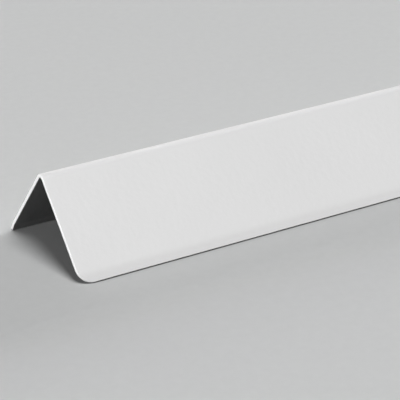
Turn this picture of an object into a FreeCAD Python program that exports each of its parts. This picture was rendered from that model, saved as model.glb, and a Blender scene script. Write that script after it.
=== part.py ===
"""Corner guard moulding: a folded strip of white painted aluminium for the outer corner of a wall.

Units are millimetres and degrees. The guard lies along X and stands on the free edges of
its two legs like a tent, with the nose of the fold on top.
"""
import math
import os

import FreeCAD
import Part

LENGTH = 1000.0
WALL = 0.9  # sheet of 0.8 mm with its coat on both sides
LEG_WIDTH = 30.0  # along the outside, from the sharp corner of the fold to the free edge
LEG_ANGLE = 82.0  # between the legs, less than square so that they spring onto the wall
NOSE_INSIDE_RADIUS = 1.0
LIP_FLAT = 1.6  # straight part of the turned-in lip
LIP_TURN = 8.0
LIP_OUTSIDE_RADIUS = 11.0
FREE_EDGE_RADIUS = 0.15
FRONT_CORNER_RADIUS = 4.0  # the leg that shows has round end corners
BACK_CORNER_RADIUS = 0.5  # the other leg has square ones, only deburred

HALF_ANGLE = math.radians(LEG_ANGLE / 2)
TURN = math.radians(LIP_TURN)
NOSE_OUTSIDE_RADIUS = NOSE_INSIDE_RADIUS + WALL
LIP_START = LEG_WIDTH - LIP_FLAT - LIP_OUTSIDE_RADIUS * TURN
LIP_END = LIP_START + LIP_OUTSIDE_RADIUS * math.sin(TURN) + LIP_FLAT * math.cos(TURN)
CLEARANCE = 5.0  # how far a cutting tool runs past the stock

FRONT = -1
BACK = 1
CORNER_RADIUS = {FRONT: FRONT_CORNER_RADIUS, BACK: BACK_CORNER_RADIUS}


def on_leg(side, along, inward, x=0.0):
    """Point of one leg: along its outside from the sharp corner of the fold, and inward from it."""
    y = side * (along * math.sin(HALF_ANGLE) - inward * math.cos(HALF_ANGLE))
    z = -along * math.cos(HALF_ANGLE) - inward * math.sin(HALF_ANGLE)
    return FreeCAD.Vector(x, y, z)


def on_lip_bend(side, radius, turn):
    """Point of the lip's bend, at a radius from its centre and after part of its turn."""
    along = LIP_START + radius * math.sin(turn)
    inward = LIP_OUTSIDE_RADIUS - radius * math.cos(turn)
    return on_leg(side, along, inward)


def lip_edge(side, depth):
    """Point of the lip's free edge, at a depth in the wall from the outside."""
    radius = LIP_OUTSIDE_RADIUS - depth
    along = LIP_START + radius * math.sin(TURN) + LIP_FLAT * math.cos(TURN)
    inward = LIP_OUTSIDE_RADIUS - radius * math.cos(TURN) + LIP_FLAT * math.sin(TURN)
    return on_leg(side, along, inward)


def half_skin(side, depth):
    """Edges of one leg's skin at a depth in the wall, from the nose down to the free edge."""
    radius = LIP_OUTSIDE_RADIUS - depth
    top = on_leg(side, NOSE_OUTSIDE_RADIUS / math.tan(HALF_ANGLE), depth)
    bend_start = on_lip_bend(side, radius, 0)
    bend_middle = on_lip_bend(side, radius, TURN / 2)
    bend_end = on_lip_bend(side, radius, TURN)
    return [
        Part.makeLine(top, bend_start),
        Part.Arc(bend_start, bend_middle, bend_end).toShape(),
        Part.makeLine(bend_end, lip_edge(side, depth)),
    ]


def nose(depth):
    """Arc over the fold that joins the two legs' skins."""
    top = NOSE_OUTSIDE_RADIUS / math.tan(HALF_ANGLE)
    crown_z = NOSE_OUTSIDE_RADIUS - depth - NOSE_OUTSIDE_RADIUS / math.sin(HALF_ANGLE)
    crown = FreeCAD.Vector(0, 0, crown_z)
    return Part.Arc(on_leg(FRONT, top, depth), crown, on_leg(BACK, top, depth)).toShape()


def section():
    """Closed section of the strip, square at its free edges."""
    edges = [Part.makeLine(lip_edge(side, 0), lip_edge(side, WALL)) for side in (FRONT, BACK)]
    for depth in (0, WALL):
        edges += half_skin(FRONT, depth) + [nose(depth)] + half_skin(BACK, depth)
    return Part.Face(Part.Wire(Part.__sortEdges__(edges)))


def is_free_edge(edge):
    """True for the four long edges of the two lips."""
    ends = [lip_edge(side, depth) for side in (FRONT, BACK) for depth in (0, WALL)]
    start = edge.Vertexes[0].Point
    on_rim = any(math.hypot(start.y - p.y, start.z - p.z) < 1e-6 for p in ends)
    return on_rim and abs(edge.Length - LENGTH) < 1e-6


def corner_tool(side, end):
    """Tool that rounds the corner of one leg at one end, square to the leg's face."""
    radius = CORNER_RADIUS[side]
    face_x = end * LENGTH / 2
    inner_x = face_x - end * radius
    outer_x = face_x + end * CLEARANCE
    tangent = LIP_END - radius
    middle = radius * math.sqrt(0.5)

    start = on_leg(side, tangent, -CLEARANCE, face_x)
    through = on_leg(side, tangent + middle, -CLEARANCE, inner_x + end * middle)
    stop = on_leg(side, LIP_END, -CLEARANCE, inner_x)
    around = [
        stop,
        on_leg(side, LIP_END + CLEARANCE, -CLEARANCE, inner_x),
        on_leg(side, LIP_END + CLEARANCE, -CLEARANCE, outer_x),
        on_leg(side, tangent, -CLEARANCE, outer_x),
        start,
    ]
    arc = Part.Arc(start, through, stop).toShape()
    outline = Part.Wire([arc] + Part.makePolygon(around).Edges)
    inward = on_leg(side, 0, 1)
    return Part.Face(outline).extrude(inward * (2 * CLEARANCE + WALL + LIP_FLAT + LIP_OUTSIDE_RADIUS))


def corner_guard():
    face = section()
    face.translate(FreeCAD.Vector(-LENGTH / 2, 0, 0))
    strip = face.extrude(FreeCAD.Vector(LENGTH, 0, 0))

    radius = min(FREE_EDGE_RADIUS, 0.45 * WALL)
    strip = strip.makeFillet(radius, [edge for edge in strip.Edges if is_free_edge(edge)])

    tools = [corner_tool(side, end) for side in (FRONT, BACK) for end in (-1, 1)]
    guard = strip.cut(tools)

    floor = guard.optimalBoundingBox(False, False).ZMin
    guard.translate(FreeCAD.Vector(0, 0, -floor))
    return guard.Solids[0]


os.makedirs("parts", exist_ok=True)
guard = corner_guard()
guard.exportStep("parts/corner_guard.step")
print("corner_guard", guard.isValid(), round(guard.Volume, 1), guard.optimalBoundingBox(False, False))
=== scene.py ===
# %% [markdown]
# # A corner guard, folded from one painted strip
#
# The real object is a strip of aluminium about a millimetre thick. It is folded once along its
# length, so that it covers the outside corner of a wall, and its long edges are turned in a
# little so that they sit tight on the plaster. Then it is powder coated in satin white.
# You could draw its section and extrude it, but then its round corners would have to be cut
# through the bends. In this lesson you make it as a workshop does: cut a flat blank, round its
# corners, give it its thickness, soften its edges, fold it line by line, and paint it.
#
# The measured solid comes first. It fixes the place, the length and the height that the folded
# sheet has to match, so print its box and keep it for the end. One Blender unit is a metre, so
# sizes in millimetres are turned into metres.

# %% Load the measured solid
import math

import bpy
from mathutils import Matrix, Vector


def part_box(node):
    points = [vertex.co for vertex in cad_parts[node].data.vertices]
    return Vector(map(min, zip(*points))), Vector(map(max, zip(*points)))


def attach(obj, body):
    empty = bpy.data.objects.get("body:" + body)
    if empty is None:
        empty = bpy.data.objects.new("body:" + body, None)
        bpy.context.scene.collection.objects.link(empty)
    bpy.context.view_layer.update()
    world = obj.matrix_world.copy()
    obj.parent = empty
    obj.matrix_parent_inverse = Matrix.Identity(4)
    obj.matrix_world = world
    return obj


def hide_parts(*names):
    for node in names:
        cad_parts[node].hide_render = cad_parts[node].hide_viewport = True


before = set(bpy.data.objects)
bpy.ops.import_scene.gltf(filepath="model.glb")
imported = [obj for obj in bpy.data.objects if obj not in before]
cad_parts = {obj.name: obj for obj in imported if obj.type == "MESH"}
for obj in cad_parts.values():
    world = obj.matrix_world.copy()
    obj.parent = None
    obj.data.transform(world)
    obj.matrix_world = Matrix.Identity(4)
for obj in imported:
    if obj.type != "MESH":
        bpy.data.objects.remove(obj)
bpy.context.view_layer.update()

MM = 0.001
low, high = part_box("corner_guard")
size = high - low
print("measured solid, mm:", [round(v / MM, 2) for v in size])

# %% [markdown]
# ## Work out the blank
#
# A folder first works out how wide the flat strip has to be. Every bend uses up a piece of
# the outside skin as long as its arc, which is radius times turn. Add the flats and the arcs
# from the middle of the nose to the free edge, and you have half of the blank.
# The length comes from the measured solid. The rest are sizes of the section, and both radii
# are those of the outside skin.

# %% Sizes of the section
wall = 0.9 * MM
leg_width = 30.0 * MM
leg_angle = math.radians(82)
nose_radius = 1.9 * MM
lip_flat = 1.6 * MM
lip_turn = math.radians(8)
lip_radius = 11.0 * MM

nose_turn = (math.pi - leg_angle) / 2
nose_end = nose_radius * nose_turn
leg_flat = leg_width - lip_flat - lip_radius * lip_turn - nose_radius / math.tan(leg_angle / 2)
lip_start = nose_end + leg_flat
lip_end = lip_start + lip_radius * lip_turn
half_blank = lip_end + lip_flat
print("blank is", round(2 * half_blank / MM, 2), "mm wide and", round(size.x / MM, 1), "mm long")

# %% [markdown]
# ## Cut the blank and round its corners
#
# The blank is a plane scaled to the strip. On the real guard the corners of the front leg are
# punched to a radius of four millimetres, so that nobody catches a sleeve on them, and those of
# the back leg are square and only deburred. A bevel of the corner vertices does both. With a
# square corner, the bevel's offset is the radius, and a profile of one half makes a true arc.
# Round the corners now, while the sheet is flat: later the front ones lie across the bend of the lip.

# %% Flat blank
bpy.ops.object.select_all(action="DESELECT")
bpy.ops.mesh.primitive_plane_add(size=1)
guard = bpy.context.active_object
guard.name = "folded_corner_guard"
guard.scale = (size.x, 2 * half_blank, 1)
bpy.ops.object.transform_apply(scale=True)


def deselect_all():
    bpy.ops.object.mode_set(mode="EDIT")
    bpy.ops.mesh.select_mode(type="VERT")
    bpy.ops.mesh.select_all(action="DESELECT")
    bpy.ops.object.mode_set(mode="OBJECT")


FRONT = -1
BACK = 1
corner_radius = {FRONT: 4.0 * MM, BACK: 0.5 * MM}
corner_steps = {FRONT: 20, BACK: 6}
true_arc = 0.5
for side in (FRONT, BACK):
    deselect_all()
    for vertex in guard.data.vertices:
        vertex.select = side * vertex.co.y > 0
    bpy.ops.object.mode_set(mode="EDIT")
    bpy.ops.mesh.bevel(offset=corner_radius[side], segments=corner_steps[side], profile=true_arc,
                       affect="VERTICES")
    bpy.ops.object.mode_set(mode="OBJECT")
print("blank with round corners has", len(guard.data.vertices), "vertices")

# %% [markdown]
# ## Give the blank its wall and soften its rim
#
# Solidify turns the sheet into a plate. The offset of -1 keeps the outside skin at height zero and
# grows downwards, to what will be the inside. Then round the rim: the real blank is deburred, and
# the powder flows round the edge as it melts, so no painted edge is sharp. Only the rim has right
# angles, so selecting the sharp edges finds the rim and nothing else. Do this before folding,
# because a bevel across many narrow fold lines would fold over itself.

# %% Plate with a rounded rim
def apply_modifier(kind, **settings):
    modifier = guard.modifiers.new(kind.lower(), kind)
    for name, value in settings.items():
        setattr(modifier, name, value)
    bpy.ops.object.modifier_apply(modifier=modifier.name)


apply_modifier("SOLIDIFY", thickness=wall, offset=-1)
rim_radius = 0.15 * MM
rim_steps = 4
rim_sharpness = math.radians(50)
bpy.ops.object.mode_set(mode="EDIT")
bpy.ops.mesh.select_mode(type="EDGE")
bpy.ops.mesh.select_all(action="DESELECT")
bpy.ops.mesh.edges_select_sharp(sharpness=rim_sharpness)
bpy.ops.mesh.bevel(offset=rim_radius, segments=rim_steps, profile=true_arc, affect="EDGES")
bpy.ops.object.mode_set(mode="OBJECT")
print("plate has", len(guard.data.polygons), "faces")

# %% [markdown]
# ## Score the fold lines
#
# A bend is a row of small turns, so each bend needs a row of lines. Bisect cuts the plate along
# one plane at a time and keeps both halves. The lip takes eight strips and each half of the nose
# ten, which leaves less than five degrees between strips. Afterwards every vertex still lies
# in the flat plate, so keep its distance from the middle: you need it to choose what to turn.

# %% Fold lines
def bend_lines(inner, outer, turn, steps):
    for i in range(steps + 1):
        share = 1 if 0 < i < steps else 0.5
        yield outer + (inner - outer) * i / steps, share * turn / steps


lip_steps = 8
nose_steps = 10
lines = list(bend_lines(lip_start, lip_end, lip_turn, lip_steps))
lines += bend_lines(0, nose_end, nose_turn, nose_steps)

cut_tolerance = 0.0001 * MM
bpy.ops.object.mode_set(mode="EDIT")
for line, _ in lines:
    for side in (FRONT, BACK):
        bpy.ops.mesh.select_all(action="SELECT")
        bpy.ops.mesh.bisect(plane_co=(0, side * line, 0), plane_no=(0, 1, 0), threshold=cut_tolerance)
bpy.ops.object.mode_set(mode="OBJECT")
flat = [vertex.co.y for vertex in guard.data.vertices]
print(len(lines), "fold lines on each side,", len(flat), "vertices")

# %% [markdown]
# ## Fold
#
# A Simple Deform modifier bends a whole object at one radius, and this strip has three bends with
# flats between them, so it is folded line by line. Work from the free edge inwards: the plate near
# the nose is then still flat, and each line lies at height zero until its own turn comes. At each
# line, turn all that lies on it or beyond by half of the step, and then all beyond it by the other
# half. The metal in the line itself so ends up halfway, and the wall keeps its thickness round the
# bend. The first and the last line of a bend take only half a step, and the bend runs smoothly into
# the flats.

# %% Folding
def turn_beyond(side, line, reach, angle):
    for vertex, y in zip(guard.data.vertices, flat):
        vertex.select = side * y > reach
    bpy.ops.object.mode_set(mode="EDIT")
    bpy.ops.transform.rotate(value=side * angle, orient_axis="X", center_override=(0, side * line, 0))
    bpy.ops.mesh.select_all(action="DESELECT")
    bpy.ops.object.mode_set(mode="OBJECT")


on_line = 0.001 * MM  # a vertex this near to a line lies on it
deselect_all()
for side in (FRONT, BACK):
    for line, turn in lines:
        turn_beyond(side, line, line - on_line, turn / 2)
        turn_beyond(side, line, line + on_line, turn / 2)
heights = [vertex.co.z for vertex in guard.data.vertices]
print("folded guard stands", round((max(heights) - min(heights)) / MM, 2), "mm high")

# %% [markdown]
# ## Stand it up and shade it
#
# The nose is at height zero and the legs hang below, so lift the guard until its lowest
# point touches the floor, and apply the move so that the object's own origin stays in place.
# Smooth shading blends the lines of the bends. Weighted normals then let the wide flats win over
# the narrow strips, or else a flat leg would look slightly pillowed.

# %% Place and shading
guard.location.z = -min(heights)
bpy.ops.object.transform_apply(location=True)
smooth_up_to = math.radians(40)
bpy.ops.object.shade_smooth_by_angle(angle=smooth_up_to)
apply_modifier("WEIGHTED_NORMAL", mode="FACE_AREA", weight=100, keep_sharp=True)

corners = [Vector(corner) for corner in guard.bound_box]
made = [max(c[i] for c in corners) - min(c[i] for c in corners) for i in range(3)]
print("folded guard, mm:", [round(v / MM, 2) for v in made])
print("off the measured solid, mm:", [round((a - b) / MM, 3) for a, b in zip(made, size)])

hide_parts("corner_guard")
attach(guard, "root")

# %% [markdown]
# ## Paint: satin white powder coat
#
# Powder coat is a plastic skin about 0.06 mm thick. It is baked on, so it has no brush marks. It
# shows a very fine orange peel, with hills one to two millimetres apart and only a few thousandths
# of a millimetre high, and its gloss is a little uneven. White pigment makes it nearly neutral.
# A picture of paint would have to be unwrapped and would show its seams, so noise makes it here.
# Colours are written as screen hex codes, and a small function turns them into the linear values
# that a shader works with.

# %% Colour and node helpers
def linear(hex_code):
    channels = [int(hex_code[i:i + 2], 16) / 255 for i in (1, 3, 5)]
    return [c / 12.92 if c <= 0.04045 else ((c + 0.055) / 1.055) ** 2.4 for c in channels] + [1]


def add_node(tree, kind, **inputs):
    node = tree.nodes.new(kind)
    for name, value in inputs.items():
        socket = node.inputs[name.replace("_", " ")]
        if isinstance(value, bpy.types.NodeSocket):
            tree.links.new(value, socket)
        else:
            socket.default_value = value
    return node


def new_material(name):
    material = bpy.data.materials.new(name)
    material.use_nodes = True
    tree = material.node_tree
    return material, tree, tree.nodes["Principled BSDF"]


palest = linear("#EFEFEF")
deepest = linear("#ECECEC")
print("white of the coat, linear:", round(deepest[0], 3), "to", round(palest[0], 3))

# %% [markdown]
# The coat itself takes three patterns. A broad noise moves the white by a hair, as the coat is
# not equally thick everywhere. A middle noise moves the roughness, which breaks up the sheen.
# A fine noise is the orange peel, and goes into a bump node. At its real height of about 0.006 mm it
# would not show from here, so it is drawn five times as high: just enough for a faint mottle.
# Object coordinates are in metres, so each pattern's scale is one divided by its size in metres.

# %% Powder coat
coat, tree, shader = new_material("white polyester powder coat, baked satin")
place = add_node(tree, "ShaderNodeTexCoord").outputs["Object"]

cloud_size = 35 * MM
cloud = add_node(tree, "ShaderNodeTexNoise", Vector=place, Scale=1 / cloud_size, Detail=3.0)
white = add_node(tree, "ShaderNodeValToRGB", Fac=cloud.outputs["Fac"])
white.color_ramp.elements[0].position = 0.3
white.color_ramp.elements[0].color = deepest
white.color_ramp.elements[1].position = 0.7
white.color_ramp.elements[1].color = palest
tree.links.new(white.outputs["Color"], shader.inputs["Base Color"])

patch_size = 6 * MM
patch = add_node(tree, "ShaderNodeTexNoise", Vector=place, Scale=1 / patch_size, Detail=2.0)
gloss = add_node(tree, "ShaderNodeMapRange", Value=patch.outputs["Fac"], To_Min=0.4, To_Max=0.5)
tree.links.new(gloss.outputs["Result"], shader.inputs["Roughness"])

hill_size = 1.4 * MM
hill_height = 0.006 * MM
times_as_high = 5
peel = add_node(tree, "ShaderNodeTexNoise", Vector=place, Scale=1 / hill_size, Detail=1.0)
bump = add_node(tree, "ShaderNodeBump", Height=peel.outputs["Fac"], Distance=times_as_high * hill_height)
tree.links.new(bump.outputs["Normal"], shader.inputs["Normal"])
shader.inputs["IOR"].default_value = 1.5

guard.data.materials.clear()
guard.data.materials.append(coat)
print("painted:", coat.name)

# %% [markdown]
# ## Floor
#
# The guard stands on a plain pale studio sweep, wide enough for every view. Its tone is below the
# white of the paint, so that the folded edges stay readable. A pale floor also throws light up under
# the legs, and the hollow of the fold would lose its depth. Light Path tells rays apart: the floor
# is pale for the camera and for reflections, and dark for the light that bounces off it.

# %% Studio paper
def seen_directly(tree):
    path = add_node(tree, "ShaderNodeLightPath")
    seen = path.outputs["Is Camera Ray"]
    for name in ("Is Glossy Ray", "Is Transmission Ray"):
        either = add_node(tree, "ShaderNodeMath")
        either.operation = "MAXIMUM"
        tree.links.new(seen, either.inputs[0])
        tree.links.new(path.outputs[name], either.inputs[1])
        seen = either.outputs["Value"]
    return seen


floor_width = 24
bpy.ops.mesh.primitive_plane_add(size=floor_width)
floor = bpy.context.active_object
floor.name = "studio_floor"

paper, tree, shader = new_material("pale matt studio paper")
place = add_node(tree, "ShaderNodeTexCoord").outputs["Object"]
fibre_size = 2.5 * MM
fibre = add_node(tree, "ShaderNodeTexNoise", Vector=place, Scale=1 / fibre_size, Detail=2.0)
tone = add_node(tree, "ShaderNodeValToRGB", Fac=fibre.outputs["Fac"])
tone.color_ramp.elements[0].color = linear("#C7C8C8")
tone.color_ramp.elements[1].color = linear("#CCCDCD")
sheet = add_node(tree, "ShaderNodeMixRGB", Fac=seen_directly(tree), Color1=linear("#2A2B2C"),
                 Color2=tone.outputs["Color"])
tree.links.new(sheet.outputs["Color"], shader.inputs["Base Color"])
shader.inputs["Roughness"].default_value = 0.9
shader.inputs["Specular IOR Level"].default_value = 0.0
floor.data.materials.append(paper)
print("floor:", paper.name, floor_width, "m wide")

# %% [markdown]
# A studio sweep has no horizon, because the paper curves up behind the object. A curved backdrop
# only works from one side, and this guard is looked at from all sides. So the floor is plain paper
# round the guard, where it takes the shadow, and further out it fades into an even glow of the same
# tone as the sky. No horizon and no edge of a lamp's pool shows then. The glow is only there for
# rays that see it directly, so it does not light the guard.

# %% Fade into the sky
glow_colour = linear("#FBFBFB")
glow_strength = 0.6
fade_start = 0.6
fade_end = 1.5
away = add_node(tree, "ShaderNodeVectorMath", Vector=place)
away.operation = "LENGTH"
fade = add_node(tree, "ShaderNodeMapRange", Value=away.outputs["Value"], From_Min=fade_start,
                From_Max=fade_end, To_Max=seen_directly(tree))
fade.interpolation_type = "SMOOTHSTEP"
glow = add_node(tree, "ShaderNodeEmission", Color=glow_colour, Strength=glow_strength)
sweep = add_node(tree, "ShaderNodeMixShader", Fac=fade.outputs["Result"])
tree.links.new(shader.outputs["BSDF"], sweep.inputs[1])
tree.links.new(glow.outputs["Emission"], sweep.inputs[2])
tree.links.new(sweep.outputs["Shader"], tree.nodes["Material Output"].inputs["Surface"])
print("paper fades into the glow from", fade_start, "to", fade_end, "m")

# %% [markdown]
# ## Light
#
# A broad panel in front and above lights the front leg nearly square on, and its sheen lifts the leg
# a little more. The lip, which is turned by only eight degrees, then shows as a slightly darker band.
# A low panel on the left looks straight at the cut end, which so becomes the brightest surface.
# The first cannot see into the hollow, and the second only grazes its walls. A low panel behind the
# far end keeps the back leg white in other views. All three stand about six metres away, so that
# their light changes only a little along the guard.
# Spread works like the grid in front of a real softbox: a narrow one keeps the light of a low panel
# off the floor around it, and needs far less power.

# %% Soft studio light
near_end = Vector((low.x, 0, size.z / 2))


def softbox(name, offset, width, power, spread):
    stand = near_end + Vector(offset)
    bpy.ops.object.light_add(type="AREA", location=stand)
    lamp = bpy.context.active_object
    lamp.name = name
    lamp.data.shape = "DISK"
    lamp.data.size = width
    lamp.data.energy = power
    lamp.data.spread = math.radians(spread)
    lamp.rotation_euler = (near_end - stand).to_track_quat("-Z", "Y").to_euler()


softbox("front_panel", offset=(0.2, -3.05, 5.58), width=2.8, power=291, spread=180)
softbox("end_panel", offset=(-6.0, -0.4, 0.6), width=1.0, power=7.6, spread=25)
softbox("back_panel", offset=(6.1, 2.3, 0.89), width=1.6, power=33, spread=40)

# %% [markdown]
# The sky gives the rest of the light. A real studio is not black, but its walls give back little, so
# the sky is dim for the light on the guard, and the hollow stays deep. Where you look straight at it
# or see it mirrored, it has the strength of the glow that the floor fades into.

# %% Sky
fill_strength = 0.06
sky = bpy.data.worlds.new("dim studio sky")
bpy.context.scene.world = sky
sky.use_nodes = True
tree = sky.node_tree
strength = add_node(tree, "ShaderNodeMapRange", Value=seen_directly(tree), To_Min=fill_strength,
                    To_Max=glow_strength)
tree.links.new(strength.outputs["Result"], tree.nodes["Background"].inputs["Strength"])
tree.nodes["Background"].inputs["Color"].default_value = glow_colour
print("sky:", fill_strength, "as light,", glow_strength, "as seen")

# %% [markdown]
# ## Camera
#
# The view was worked out from the photograph: the lines of the nose and the foot converge only a
# little, so the lens is long. The camera stands in front and to the left of the near end, turned
# about thirty degrees to the right, and looks down at twenty-four degrees with a slight roll.
# A Track To constraint would aim it too, but would keep it level, so the angles are given here.

# %% Camera of the photograph
heading = math.radians(-30.34)
look_down = math.radians(24.225)
roll = math.radians(-1.268)
tripod = near_end + Vector((-182.846, -388.661, 195.940)) * MM

bpy.ops.object.camera_add()
camera = bpy.context.active_object
camera.data.sensor_width = 36
camera.data.lens = 173.55
turned = Matrix.Rotation(heading, 4, "Z")
tilted = Matrix.Rotation(math.pi / 2 - look_down, 4, "X")
rolled = Matrix.Rotation(roll, 4, "Z")
camera.matrix_world = Matrix.Translation(tripod) @ turned @ tilted @ rolled
bpy.context.scene.camera = camera
bpy.context.scene.view_settings.view_transform = "Standard"
print("camera at, mm:", [round(v / MM, 1) for v in camera.location])
